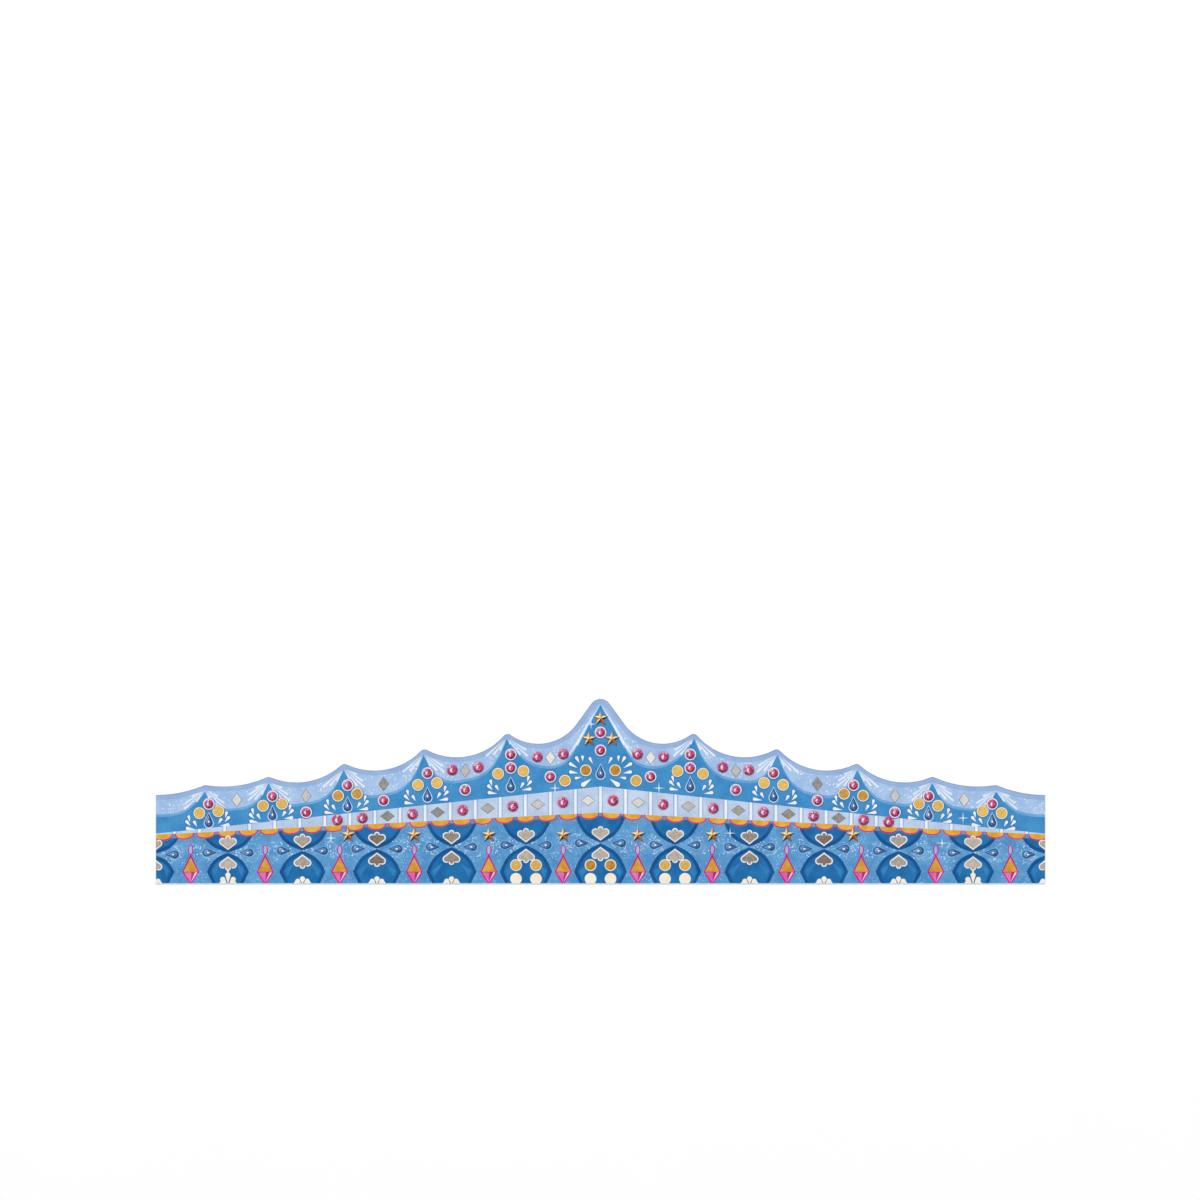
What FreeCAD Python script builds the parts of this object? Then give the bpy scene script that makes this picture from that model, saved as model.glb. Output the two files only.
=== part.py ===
import FreeCAD, Part
import math
import os
import Sketcher

# Paper crown: one flat die-cut card strip, lying printed side up, with stickers on it.
# X runs along the strip, Y from its straight edge towards the crest, Z up out of the card.
# The origin is the middle of the crown's outer box, on the surface that it lies on.

os.makedirs("parts", exist_ok=True)
doc = FreeCAD.newDocument("paper_crown")
sheet = doc.addObject("Spreadsheet::Sheet", "Sizes")

# Driving dimensions, in millimetres and degrees; a ratio is a plain number.
DIMENSIONS = (
    # the card and its outline, from the crest out to the straight end
    ("card_thickness", 0.45),
    ("crest_bay_width", 55.3),
    ("second_bay_width", 49.2),
    ("third_bay_width", 47.2),
    ("fourth_bay_width", 44.3),
    ("fifth_bay_width", 37.6),
    ("end_bay_width", 28.9),
    ("end_height", 52.6),
    ("end_bay_rise", 5.9),
    ("fifth_bay_rise", 5.0),
    ("fourth_bay_rise", 8.0),
    ("third_bay_rise", 8.8),
    ("second_bay_rise", 9.5),
    ("crest_bay_rise", 19.5),
    ("second_bay_sag", 9.7),
    ("third_bay_sag", 8.4),
    ("fourth_bay_sag", 7.0),
    ("fifth_bay_sag", 2.9),
    ("crest_bay_radius", 28.0),
    ("crest_flank_angle", 54.0),
    ("crest_nose_radius", 6.5),
    ("tip_rounding", 3.0),
    # lines of the decoration that the stickers follow
    ("band_top_height", 57.6),
    ("band_top_fall", 27.8),
    ("band_bottom_height", 42.2),
    ("band_bottom_fall", 13.0),
    ("band_pitch", 14.8),
    ("lattice_columns", 6),
    ("lattice_overhang", 1.5),
    ("junction_height", 24.2),
    ("junction_fall", 6.7),
    # the stickers themselves
    ("foil_thickness", 0.15),
    ("dot_diameter", 5.7),
    ("dot_sides", 14),
    ("small_gem_diameter", 5.5),
    ("gem_diameter", 6.4),
    ("gem_girdle", 0.4),
    ("gem_thickness", 1.6),
    ("gem_inset", 1.25),
    ("gem_sides", 10),
    ("drop_length", 7.8),
    ("drop_width", 4.3),
    ("drop_girdle", 0.3),
    ("drop_thickness", 1.3),
    ("drop_inset", 0.85),
    ("drop_corners", 6),
    ("lozenge_length", 8.6),
    ("lozenge_width", 6.4),
    ("star_diameter", 8.8),
    ("star_waist_ratio", 0.42),
    ("star_girdle", 0.25),
    ("star_thickness", 1.2),
    ("trefoil_width", 8.8),
    ("trefoil_height", 6.6),
    ("trefoil_lobe", 2.3),
    ("trefoil_bud", 1.2),
    ("trefoil_shoulder_drop", 2.3),
    # where the stickers sit
    ("top_star_drop", 11.9),
    ("crest_star_clearance", 0.65),
    ("crest_gem_spacing", 10.6),
    ("star_pair_lift", 0.9),
    ("star_pair_clearance", 2.4),
    ("crest_drop_spacing", 12.6),
    ("inner_crest_dot_lift", 0.8),
    ("inner_crest_dot_clearance", 3.7),
    ("outer_crest_dot_drop", 6.1),
    ("outer_crest_dot_spacing", 12.3),
    ("cluster_shift", 2.3),
    ("upper_gem_ratio", 0.35),
    ("lower_gem_ratio", 0.56),
    ("single_gem_ratio", 0.44),
    ("dot_ratio", 0.63),
    ("drop_ratio", 0.82),
    ("first_dot_spread", 7.5),
    ("dot_spread", 5.6),
    ("crest_lozenge_offset", 29.6),
    ("crest_lozenge_drop", 15.1),
    ("lozenge_drop", 8.4),
    ("inner_bay_gem_drop", 11.3),
    ("outer_bay_gem_drop", 9.7),
    ("pair_spread", 7.7),
    ("pair_rise", 1.2),
    ("star_row_height", 28.6),
    ("outer_star_offset", 149.1),
    ("upper_trefoil_lift", 5.9),
    ("lower_trefoil_drop", 6.5),
    ("side_drop_offset", 10.9),
    ("field_dot_height", 11.2),
    ("field_dot_spread", 5.9),
)
for row, (alias, value) in enumerate(DIMENSIONS, start=1):
    sheet.set("A%d" % row, alias)
    sheet.set("B%d" % row, str(value))
    sheet.setAlias("B%d" % row, alias)
doc.recompute()


def size(alias):
    """The value that the sheet holds."""
    return float(sheet.get(alias))


def cell(alias):
    """The sheet's cell, as an expression writes it."""
    return "Sizes." + alias


def total(aliases):
    """Sum of cells, as an expression."""
    return "(" + " + ".join(cell(alias) for alias in aliases) + ")"


# Points and lines of the right-hand half, as expressions: heights are above the straight edge.
BAYS = ("crest", "second", "third", "fourth", "fifth", "end")
HALF_LENGTH = total(bay + "_bay_width" for bay in BAYS)
TIP_COUNT = len(BAYS) - 1


def tip_offset(number):
    """Distance of a tip from the middle; the crest is number 0."""
    return total(bay + "_bay_width" for bay in BAYS[:number]) if number else "0"


def tip_height(number):
    """Height of a tip, built up from the strip's end."""
    return total(["end_height"] + [bay + "_bay_rise" for bay in BAYS[number:]])


def line_height(start, fall, offset):
    """Height at an offset of a line that drops evenly from the middle to the strip's end."""
    return "(%s - %s * abs(%s) / %s)" % (cell(start), cell(fall), offset, HALF_LENGTH)


def band_top(offset):
    return line_height("band_top_height", "band_top_fall", offset)


def band_bottom(offset):
    return line_height("band_bottom_height", "band_bottom_fall", offset)


def junction(offset):
    return line_height("junction_height", "junction_fall", offset)


def lattice_column(number):
    """Offset of a column of the lattice; the outermost stands just past the strip's end."""
    shares = (number, HALF_LENGTH, cell("lattice_overhang"), cell("lattice_columns"))
    return "(%s * (%s + %s) / round(%s))" % shares


CREST_HEIGHT = tip_height(0)
TO_FRAME = "-%s / 2" % CREST_HEIGHT


# Sketches

START, END, MIDDLE = range(1, 4)
HORIZONTAL_AXIS, VERTICAL_AXIS = range(-1, -3, -1)
ORIGIN_POINT = (HORIZONTAL_AXIS, START)


def origin_plane(body, role):
    """One of the body's own reference planes."""
    return [item for item in body.Origin.OriginFeatures if item.Role == role][0]


def new_sketch(body, name):
    """A sketch on the body's horizontal plane."""
    sketch = body.newObject("Sketcher::SketchObject", name)
    sketch.AttachmentSupport = [(origin_plane(body, "XY_Plane"), "")]
    sketch.MapMode = "FlatFace"
    return sketch


def point(sketch, x, y):
    """Where a point given by two expressions lies now."""
    return FreeCAD.Vector(float(sketch.evalExpression(x)), float(sketch.evalExpression(y)), 0)


def bind(sketch, kind, items, expression, unit=1):
    """Add a constraint whose value comes from an expression."""
    value = float(sketch.evalExpression(expression)) * unit
    index = sketch.addConstraint(Sketcher.Constraint(kind, *items, value))
    sketch.setExpression("Constraints[%d]" % index, expression)


def pin(sketch, corner, x, y):
    """Tie a point of the sketch to two coordinates."""
    bind(sketch, "DistanceX", (*ORIGIN_POINT, *corner), x)
    bind(sketch, "DistanceY", (*ORIGIN_POINT, *corner), y)


def add_line(sketch, first, last):
    """Straight edge; returns its two ends."""
    index = sketch.addGeometry(Part.LineSegment(first, last), False)
    return (index, START), (index, END)


def add_arc(sketch, first, last, radius, centre_on_left):
    """Short arc from first to last; returns its two ends in that order."""
    chord = last - first
    across = FreeCAD.Vector(-chord.y, chord.x, 0).normalize()
    depth = math.sqrt(max(radius ** 2 - (chord.Length / 2) ** 2, 0))
    centre = (first + last) / 2 + across * (depth if centre_on_left else -depth)
    ends = (first, last) if centre_on_left else (last, first)
    angles = [math.atan2((end - centre).y, (end - centre).x) for end in ends]
    if angles[1] < angles[0]:
        angles[1] += 2 * math.pi
    circle = Part.Circle(centre, FreeCAD.Vector(0, 0, 1), radius)
    index = sketch.addGeometry(Part.ArcOfCircle(circle, *angles), False)
    return ((index, START), (index, END)) if centre_on_left else ((index, END), (index, START))


def join(sketch, edges, smooth=()):
    """Close a run of edges into one outline; the numbered edges run on smoothly into the next."""
    for number, (edge, following) in enumerate(zip(edges, edges[1:] + edges[:1])):
        kind = "Tangent" if number in smooth else "Coincident"
        sketch.addConstraint(Sketcher.Constraint(kind, *edge[1], *following[0]))


def draw_polygon(sketch, corners):
    """Closed outline of straight edges through corners given by expressions."""
    places = [point(sketch, *corner) for corner in corners]
    edges = [add_line(sketch, first, last) for first, last in zip(places, places[1:] + places[:1])]
    join(sketch, edges)
    for edge, corner in zip(edges, corners):
        pin(sketch, edge[0], *corner)


def pad(body, name, sketch, length):
    """Solid raised from a sketch."""
    feature = body.newObject("PartDesign::Pad", name)
    feature.Profile = sketch
    feature.setExpression("Length", length)
    return feature


# The card

def card_outline(body):
    """Right-hand half of the strip: straight edge, end, scooped bays, flank and nose of the crest."""
    sketch = new_sketch(body, "card_outline")
    end_foot = point(sketch, HALF_LENGTH, "0")
    end_top = point(sketch, HALF_LENGTH, cell("end_height"))
    tips = [point(sketch, tip_offset(k), tip_height(k)) for k in range(TIP_COUNT + 1)]
    edges = [add_line(sketch, FreeCAD.Vector(), end_foot), add_line(sketch, end_foot, end_top)]

    run, rise = size("end_bay_width"), size("end_bay_rise")
    edges.append(add_arc(sketch, end_top, tips[TIP_COUNT], (run ** 2 + rise ** 2) / (2 * rise), False))
    centre = (edges[-1][0][0], MIDDLE)
    sketch.addConstraint(Sketcher.Constraint("Vertical", *edges[-1][0], *centre))

    for number in range(TIP_COUNT, 1, -1):
        names = [cell(BAYS[number - 1] + kind) for kind in ("_bay_width", "_bay_rise", "_bay_sag")]
        radius = "(({0})^2 + ({1})^2) / (8 * {2}) + {2} / 2".format(*names)
        first, last = tips[number], tips[number - 1]
        edges.append(add_arc(sketch, first, last, float(sketch.evalExpression(radius)), False))
        bind(sketch, "Radius", (edges[-1][0][0],), radius)

    slope = math.radians(size("crest_flank_angle"))
    nose_radius = size("crest_nose_radius")
    outward = FreeCAD.Vector(math.sin(slope), math.cos(slope), 0)
    down = FreeCAD.Vector(math.cos(slope), -math.sin(slope), 0)
    nose_end = tips[0] + FreeCAD.Vector(0, -nose_radius, 0) + outward * nose_radius
    gap = (tips[1] - nose_end).dot(outward)
    reach = (tips[1] - nose_end).dot(down)
    bay_run = math.sqrt(max(2 * size("crest_bay_radius") * gap - gap ** 2, 0))
    flank_end = nose_end + down * (reach - bay_run)
    bay = add_arc(sketch, tips[1], flank_end, size("crest_bay_radius"), False)
    flank = add_line(sketch, flank_end, nose_end)
    nose = add_arc(sketch, nose_end, tips[0], nose_radius, True)
    edges += [bay, flank, nose, add_line(sketch, tips[0], FreeCAD.Vector())]
    join(sketch, edges, smooth=(edges.index(bay), edges.index(flank)))

    sketch.addConstraint(Sketcher.Constraint("Coincident", *edges[0][0], *ORIGIN_POINT))
    pin(sketch, edges[1][0], HALF_LENGTH, "0")
    pin(sketch, edges[1][1], HALF_LENGTH, cell("end_height"))
    for number in range(TIP_COUNT, 0, -1):
        pin(sketch, edges[2 + TIP_COUNT - number][1], tip_offset(number), tip_height(number))
    pin(sketch, nose[1], "0", CREST_HEIGHT)
    bind(sketch, "Radius", (bay[0][0],), cell("crest_bay_radius"))
    bind(sketch, "Radius", (nose[0][0],), cell("crest_nose_radius"))
    sketch.addConstraint(Sketcher.Constraint("PointOnObject", nose[0][0], MIDDLE, VERTICAL_AXIS))
    bind(sketch, "Angle", (flank[0][0],), "180 - %s" % cell("crest_flank_angle"), math.radians(1))
    return sketch


def build_card():
    """The die-cut strip: half of it raised, mirrored, and its sharp tips rounded."""
    body = doc.addObject("PartDesign::Body", "crown_card")
    half = pad(body, "card_half", card_outline(body), cell("card_thickness"))
    doc.recompute()
    both = body.newObject("PartDesign::Mirrored", "card_both_halves")
    both.Originals = [half]
    both.MirrorPlane = (origin_plane(body, "YZ_Plane"), [""])
    body.Tip = both
    doc.recompute()
    tips = [point(body, tip_offset(k), tip_height(k)) for k in range(1, TIP_COUNT + 1)]
    sharp = []
    for number, edge in enumerate(both.Shape.Edges, start=1):
        middle = edge.CenterOfMass
        place = FreeCAD.Vector(abs(middle.x), middle.y, 0)
        upright = edge.BoundBox.ZLength > edge.BoundBox.DiagonalLength / 2
        if upright and min(place.distanceToPoint(tip) for tip in tips) < size("card_thickness"):
            sharp.append("Edge%d" % number)
    rounding = body.newObject("PartDesign::Fillet", "tip_rounding")
    rounding.Base = (both, sharp)
    rounding.setExpression("Radius", cell("tip_rounding"))
    body.Tip = rounding
    body.setExpression("Placement.Base.y", TO_FRAME)
    return body


# One pattern of each sticker, standing on its own origin

def cut_stone(name, corners, kind):
    """Faceted stone: an upright girdle, then facets that lean in to a flat table."""
    body = doc.addObject("PartDesign::Body", name)
    girdle, thickness, inset = [cell(kind + part) for part in ("_girdle", "_thickness", "_inset")]
    outline = new_sketch(body, name + "_outline")
    draw_polygon(outline, corners)
    block = pad(body, name + "_block", outline, thickness)
    doc.recompute()
    heights = [face.CenterOfMass.z for face in block.Shape.Faces]
    facets = body.newObject("PartDesign::Chamfer", name + "_facets")
    facets.Base = (block, ["Face%d" % (heights.index(max(heights)) + 1)])
    facets.ChamferType = "Two distances"
    facets.FlipDirection = True
    facets.setExpression("Size", inset)
    facets.setExpression("Size2", "%s - %s" % (thickness, girdle))
    body.Tip = facets
    return body


def around(reach, angle):
    """Point at a distance and an angle from the origin."""
    return "%s * cos(%s)" % (reach, angle), "%s * sin(%s)" % (reach, angle)


def build_gem(name, diameter):
    """Round stone of a rhinestone sticker."""
    sides = round(size("gem_sides"))
    reach = cell(diameter) + " / 2"
    corners = [around(reach, "360 deg * %d / %d" % (number, sides)) for number in range(sides)]
    return cut_stone(name, corners, "gem")


def build_teardrop():
    """Stone with a round end and straight sides that meet in a point, point up."""
    radius = "(%s / 2)" % cell("drop_width")
    centre = "((%s - %s) / 2)" % (cell("drop_width"), cell("drop_length"))
    reach = "(%s - %s)" % (cell("drop_length"), radius)
    lean = "asin(%s / %s)" % (radius, reach)
    last = round(size("drop_corners"))
    corners = [("0", "(%s / 2)" % cell("drop_length"))]
    for number in range(last + 1):
        # evenly from one straight side, round the bowl, to the other
        x, y = around(radius, "(180 deg - %s + %d * (180 deg + 2 * %s) / %d)" % (lean, number, lean, last))
        corners.append((x, "(%s + %s)" % (centre, y)))
    return cut_stone("teardrop", corners, "drop")


def build_star():
    """Five-pointed star with a ridge along each arm and a valley between arms, up to one peak."""
    corners = []
    for number in range(10):
        reach = cell("star_diameter") + " / 2"
        if number % 2:
            reach += " * " + cell("star_waist_ratio")
        corners.append(around(reach, "%d deg" % (90 + 36 * number)))
    levels = []
    for name, height in (("star_foot", "0"), ("star_rim", cell("star_girdle"))):
        outline = doc.addObject("Sketcher::SketchObject", name)
        draw_polygon(outline, corners)
        outline.setExpression("Placement.Base.z", height)
        levels.append(outline)
    peak = doc.addObject("Part::Vertex", "star_peak")
    peak.setExpression("Z", cell("star_thickness"))
    stone = doc.addObject("Part::Loft", "star")
    stone.Sections = levels + [peak]
    stone.Solid = True
    stone.Ruled = True
    return stone


def build_dot():
    """Round foil dot."""
    foil = doc.addObject("Part::Prism", "dot")
    foil.setExpression("Polygon", cell("dot_sides"))
    foil.setExpression("Circumradius", cell("dot_diameter") + " / 2")
    foil.setExpression("Height", cell("foil_thickness"))
    return foil


def build_lozenge():
    """Flat foil lozenge, long way up."""
    body = doc.addObject("PartDesign::Body", "lozenge")
    across, along = cell("lozenge_width") + " / 2", cell("lozenge_length") + " / 2"
    outline = new_sketch(body, "lozenge_outline")
    draw_polygon(outline, ((across, "0"), ("0", along), ("-" + across, "0"), ("0", "-" + along)))
    pad(body, "lozenge_foil", outline, cell("foil_thickness"))
    return body


def build_trefoil():
    """Foil bud: two side lobes and a small middle one above a point, point down."""
    body = doc.addObject("PartDesign::Body", "trefoil")
    sketch = new_sketch(body, "trefoil_outline")
    half_width, half_height = cell("trefoil_width") + " / 2", cell("trefoil_height") + " / 2"
    lobe, bud = cell("trefoil_lobe"), cell("trefoil_bud")
    neck_height = "%s - %s" % (half_height, bud)
    foot = ("0", "-" + half_height)
    shoulder = (half_width, "%s - %s" % (neck_height, cell("trefoil_shoulder_drop")))
    neck = (bud, neck_height)
    places = [point(sketch, *foot), point(sketch, *shoulder), point(sketch, *neck)]
    mirrored = [FreeCAD.Vector(-place.x, place.y, 0) for place in places]
    edges = [
        add_line(sketch, places[0], places[1]),
        add_arc(sketch, places[1], places[2], size("trefoil_lobe"), True),
        add_arc(sketch, places[2], mirrored[2], size("trefoil_bud"), True),
        add_arc(sketch, mirrored[2], mirrored[1], size("trefoil_lobe"), True),
        add_line(sketch, mirrored[1], places[0]),
    ]
    join(sketch, edges)
    pin(sketch, edges[0][0], *foot)
    pin(sketch, edges[0][1], *shoulder)
    pin(sketch, edges[1][1], *neck)
    pin(sketch, edges[3][1], "-" + shoulder[0], shoulder[1])
    sketch.addConstraint(Sketcher.Constraint("Symmetric", *edges[2][0], *edges[2][1], VERTICAL_AXIS))
    for edge, radius in ((edges[1], lobe), (edges[3], lobe)):
        bind(sketch, "Radius", (edge[0][0],), radius)
    bind(sketch, "DistanceY", (*ORIGIN_POINT, edges[2][0][0], MIDDLE), neck_height)
    pad(body, "trefoil_foil", sketch, cell("foil_thickness"))
    return body


card = build_card()
gem = build_gem("gem", "gem_diameter")
small_gem = build_gem("small_gem", "small_gem_diameter")
dot = build_dot()
teardrop = build_teardrop()
lozenge = build_lozenge()
star = build_star()
trefoil = build_trefoil()


# Groups of stickers: each is one sub-part made of separate pieces on the card's face

nodes = [card]


def place_stickers(name, spots):
    """Stickers of one group; a spot is (pattern, x, height, turn in degrees)."""
    links = []
    for number, (pattern, x, height, turn) in enumerate(spots, start=1):
        link = doc.addObject("App::Link", "%s_%d" % (name, number))
        link.LinkedObject = pattern
        spin = FreeCAD.Rotation(FreeCAD.Vector(0, 0, 1), turn)
        link.Placement = FreeCAD.Placement(FreeCAD.Vector(), spin)
        link.setExpression("Placement.Base.x", x)
        link.setExpression("Placement.Base.y", height)
        link.setExpression("Placement.Base.z", cell("card_thickness"))
        links.append(link)
    group = doc.addObject("Part::Compound", name)
    group.Links = links
    group.setExpression("Placement.Base.y", TO_FRAME)
    return group


def add_group(name, spots):
    """A group that stands by itself, about the crown's middle."""
    nodes.append(place_stickers(name, spots))


def add_sides(name, group):
    """A right-hand group and its mirror image on the left."""
    group.Label = name + "_right"
    image = doc.addObject("Part::Mirroring", name + "_left")
    image.Source = group
    image.Normal = FreeCAD.Vector(1, 0, 0)
    nodes.extend([group, image])


def add_pair(name, spots):
    add_sides(name, place_stickers(name + "_right", spots))


def crest_stickers():
    """Stars, gems, dots and the teardrop under the crest."""
    half_star, half_gem = cell("star_diameter") + " / 2", cell("small_gem_diameter") + " / 2"
    top = "(%s - %s)" % (CREST_HEIGHT, cell("top_star_drop"))
    upper_gem = "(%s - %s - %s - %s)" % (top, half_star, cell("crest_star_clearance"), half_gem)
    lower_gem = "(%s - %s)" % (upper_gem, cell("crest_gem_spacing"))
    pair_height = "(%s + %s) / 2 + %s" % (upper_gem, lower_gem, cell("star_pair_lift"))
    pair_spread = "(%s + %s)" % (half_star, cell("star_pair_clearance"))
    stars = [(star, "0", top, 0)]
    stars += [(star, sign + pair_spread, pair_height, 0) for sign in ("", "-")]
    add_group("crest_stars", stars)
    add_group("crest_gems", [(small_gem, "0", height, 0) for height in (upper_gem, lower_gem)])

    drop_height = "(%s - %s)" % (lower_gem, cell("crest_drop_spacing"))
    add_group("crest_drop", [(teardrop, "0", drop_height, 0)])
    inner_height = "(%s + %s)" % (drop_height, cell("inner_crest_dot_lift"))
    widths = (cell("drop_width"), cell("dot_diameter"), cell("inner_crest_dot_clearance"))
    inner = "(%s / 2 + %s / 2 + %s)" % widths
    outer_height = "(%s - %s)" % (inner_height, cell("outer_crest_dot_drop"))
    outer = "(%s + %s)" % (inner, cell("outer_crest_dot_spacing"))
    dots = []
    for spread, height in ((inner, inner_height), (outer, outer_height)):
        dots += [(dot, sign + spread, height, 0) for sign in ("", "-")]
    add_group("crest_dots", dots)


def tip_stickers(number):
    """Gem, two dots and a teardrop in the wedge under one tip; the first tip has two gems."""
    axis = "(%s - %s)" % (tip_offset(number), cell("cluster_shift"))
    depth = "(%s - %s)" % (tip_height(number), band_top(axis))
    slope = "%s / %s" % (cell("band_top_fall"), HALF_LENGTH)

    def level(ratio):
        return "%s - %s * %s" % (tip_height(number), depth, cell(ratio))

    ratios = ("upper_gem_ratio", "lower_gem_ratio") if number == 1 else ("single_gem_ratio",)
    spread = cell("first_dot_spread" if number == 1 else "dot_spread")
    add_pair("tip_%d_gems" % number, [(small_gem, axis, level(ratio), 0) for ratio in ratios])
    dots = []
    for sign, other in (("+", "-"), ("-", "+")):
        # the row of dots falls outwards as the band does
        height = "%s %s %s * %s" % (level("dot_ratio"), other, spread, slope)
        dots.append((dot, "%s %s %s" % (axis, sign, spread), height, 0))
    add_pair("tip_%d_dots" % number, dots)
    add_pair("tip_%d_drop" % number, [(teardrop, axis, level("drop_ratio"), 0)])


def swag_stickers():
    """A lozenge in every bay, gems beside it in the two inner bays and one under it in four."""
    slope = "%s / %s" % (cell("band_top_fall"), HALF_LENGTH)
    lozenges, beside, below = [], [], []
    for number in range(TIP_COUNT):
        if number == 0:
            offset = cell("crest_lozenge_offset")
            height = "(%s - %s)" % (tip_height(1), cell("crest_lozenge_drop"))
        else:
            offset = "(%s + %s) / 2" % (tip_offset(number), tip_offset(number + 1))
            chord = "(%s + %s) / 2" % (tip_height(number), tip_height(number + 1))
            sag = cell(BAYS[number] + "_bay_sag")
            height = "(%s - %s - %s)" % (chord, sag, cell("lozenge_drop"))
        lozenges.append((lozenge, offset, height, 0))
        if number < 2:
            for sign, other in (("+", "-"), ("-", "+")):
                spread, rise = cell("pair_spread"), cell("pair_rise")
                lift = "%s + %s %s %s * %s" % (height, rise, other, spread, slope)
                beside.append((gem, "%s %s %s" % (offset, sign, spread), lift, 0))
        if number < 4:
            gem_drop = cell("inner_bay_gem_drop" if number < 2 else "outer_bay_gem_drop")
            below.append((small_gem, offset, "%s - %s" % (height, gem_drop), 0))
    add_pair("swag_lozenges", lozenges)
    add_pair("swag_pair_gems", beside)
    add_pair("swag_lower_gems", below)


def band_stickers():
    """Gems and lying lozenges by turns in the band's cells; both rows end in a gem."""
    first, last = -11, 11
    gems, lozenges = [], []
    for number in range(first, last + 1):
        offset = "(%s * %s)" % (number + 0.5, cell("band_pitch"))
        height = "(%s + %s) / 2" % (band_top(offset), band_bottom(offset))
        if number % 2 == 0 or number in (first, last):
            gems.append((gem, offset, height, 0))
        else:
            lozenges.append((lozenge, offset, height, 90))
    add_group("band_gems", gems)
    add_group("band_lozenges", lozenges)


def field_stickers():
    """Stars, trefoils, side teardrops and dots on the lattice of the lower field."""
    columns = round(size("lattice_columns"))
    row = cell("star_row_height")
    stars = [(star, lattice_column(number + 0.5), row, 0) for number in range(3)]
    stars.append((star, cell("outer_star_offset"), row, 0))
    add_pair("field_stars", stars)

    def upper(number):
        column = lattice_column(number)
        return (trefoil, column, "%s + %s" % (junction(column), cell("upper_trefoil_lift")), 0)

    def lower(number):
        column = lattice_column(number)
        return (trefoil, column, "%s - %s" % (junction(column), cell("lower_trefoil_drop")), 180)

    add_group("centre_trefoils", [upper(0), lower(0)])
    add_pair("upper_trefoils", [upper(number) for number in range(1, columns)])
    add_pair("lower_trefoils", [lower(number) for number in range(1, columns)])

    drops = []
    for number in range(columns + 1):
        column = lattice_column(number)
        for sign, turn in (("-", -90), ("+", 90)):
            if (number, sign) not in ((0, "-"), (columns, "+")):
                place = "%s %s %s" % (column, sign, cell("side_drop_offset"))
                drops.append((teardrop, place, junction(column), turn))
    add_pair("side_drops", drops)

    level, spread = cell("field_dot_height"), cell("field_dot_spread")
    dots = [(dot, spread, level, 0)]
    dots += [(dot, "%s %s %s" % (lattice_column(1), sign, spread), level, 0) for sign in ("-", "+")]
    add_pair("field_dots", dots)

    # the outermost column stands at the strip's end, which trims its trefoils
    whole = place_stickers("end_trefoils_whole", [upper(columns), lower(columns)])
    strip = doc.addObject("Part::Box", "end_trim")
    strip.setExpression("Length", HALF_LENGTH)
    strip.setExpression("Width", CREST_HEIGHT)
    strip.setExpression("Height", "2 * (%s + %s)" % (cell("card_thickness"), cell("foil_thickness")))
    strip.setExpression("Placement.Base.y", TO_FRAME)
    trimmed = doc.addObject("Part::Common", "end_trefoils_right")
    trimmed.Base = whole
    trimmed.Tool = strip
    add_sides("end_trefoils", trimmed)


crest_stickers()
for tip_number in range(1, TIP_COUNT + 1):
    tip_stickers(tip_number)
swag_stickers()
band_stickers()
field_stickers()
doc.recompute()

for item in doc.Objects:
    if "Invalid" in item.State or "Error" in item.State:
        raise RuntimeError("%s did not build: %s" % (item.Label, item.State))
for node in nodes:
    if node.Shape.isNull() or not node.Shape.isValid() or not node.Shape.Solids:
        raise RuntimeError("%s has no valid shape" % node.Label)
for node in nodes:
    node.Shape.exportStep("parts/%s.step" % node.Label)
    print(node.Label, len(node.Shape.Solids), round(node.Shape.Volume, 3))
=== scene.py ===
import math
import random

import bmesh
import bpy
from mathutils import Matrix, Vector, geometry


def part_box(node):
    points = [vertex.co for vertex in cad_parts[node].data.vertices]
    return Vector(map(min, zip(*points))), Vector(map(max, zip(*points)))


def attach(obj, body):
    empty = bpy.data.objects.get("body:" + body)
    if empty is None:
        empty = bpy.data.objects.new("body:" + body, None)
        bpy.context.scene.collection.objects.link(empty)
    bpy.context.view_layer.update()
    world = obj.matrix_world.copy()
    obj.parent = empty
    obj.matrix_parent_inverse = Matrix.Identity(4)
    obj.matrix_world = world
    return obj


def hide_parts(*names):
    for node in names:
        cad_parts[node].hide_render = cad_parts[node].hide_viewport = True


# Paper crown: a printed card strip that lies face up, with foil and rhinestone stickers on it.
# The decoration is drawn in millimetres: x runs along the strip from its middle, and a height
# is measured up from the straight edge. Flat drawings become fields of one card piece.

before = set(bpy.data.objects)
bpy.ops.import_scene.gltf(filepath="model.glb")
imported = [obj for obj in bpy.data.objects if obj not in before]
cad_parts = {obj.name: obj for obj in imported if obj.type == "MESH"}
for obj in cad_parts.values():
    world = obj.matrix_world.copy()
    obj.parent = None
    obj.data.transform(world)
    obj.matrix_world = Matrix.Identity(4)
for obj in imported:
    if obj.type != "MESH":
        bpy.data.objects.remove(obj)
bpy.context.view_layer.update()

MM = 0.001
card_low, card_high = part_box("crown_card")
HALF_LENGTH = card_high.x / MM
CREST = (card_high.y - card_low.y) / MM
CARD_TOP = card_high.z

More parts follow.
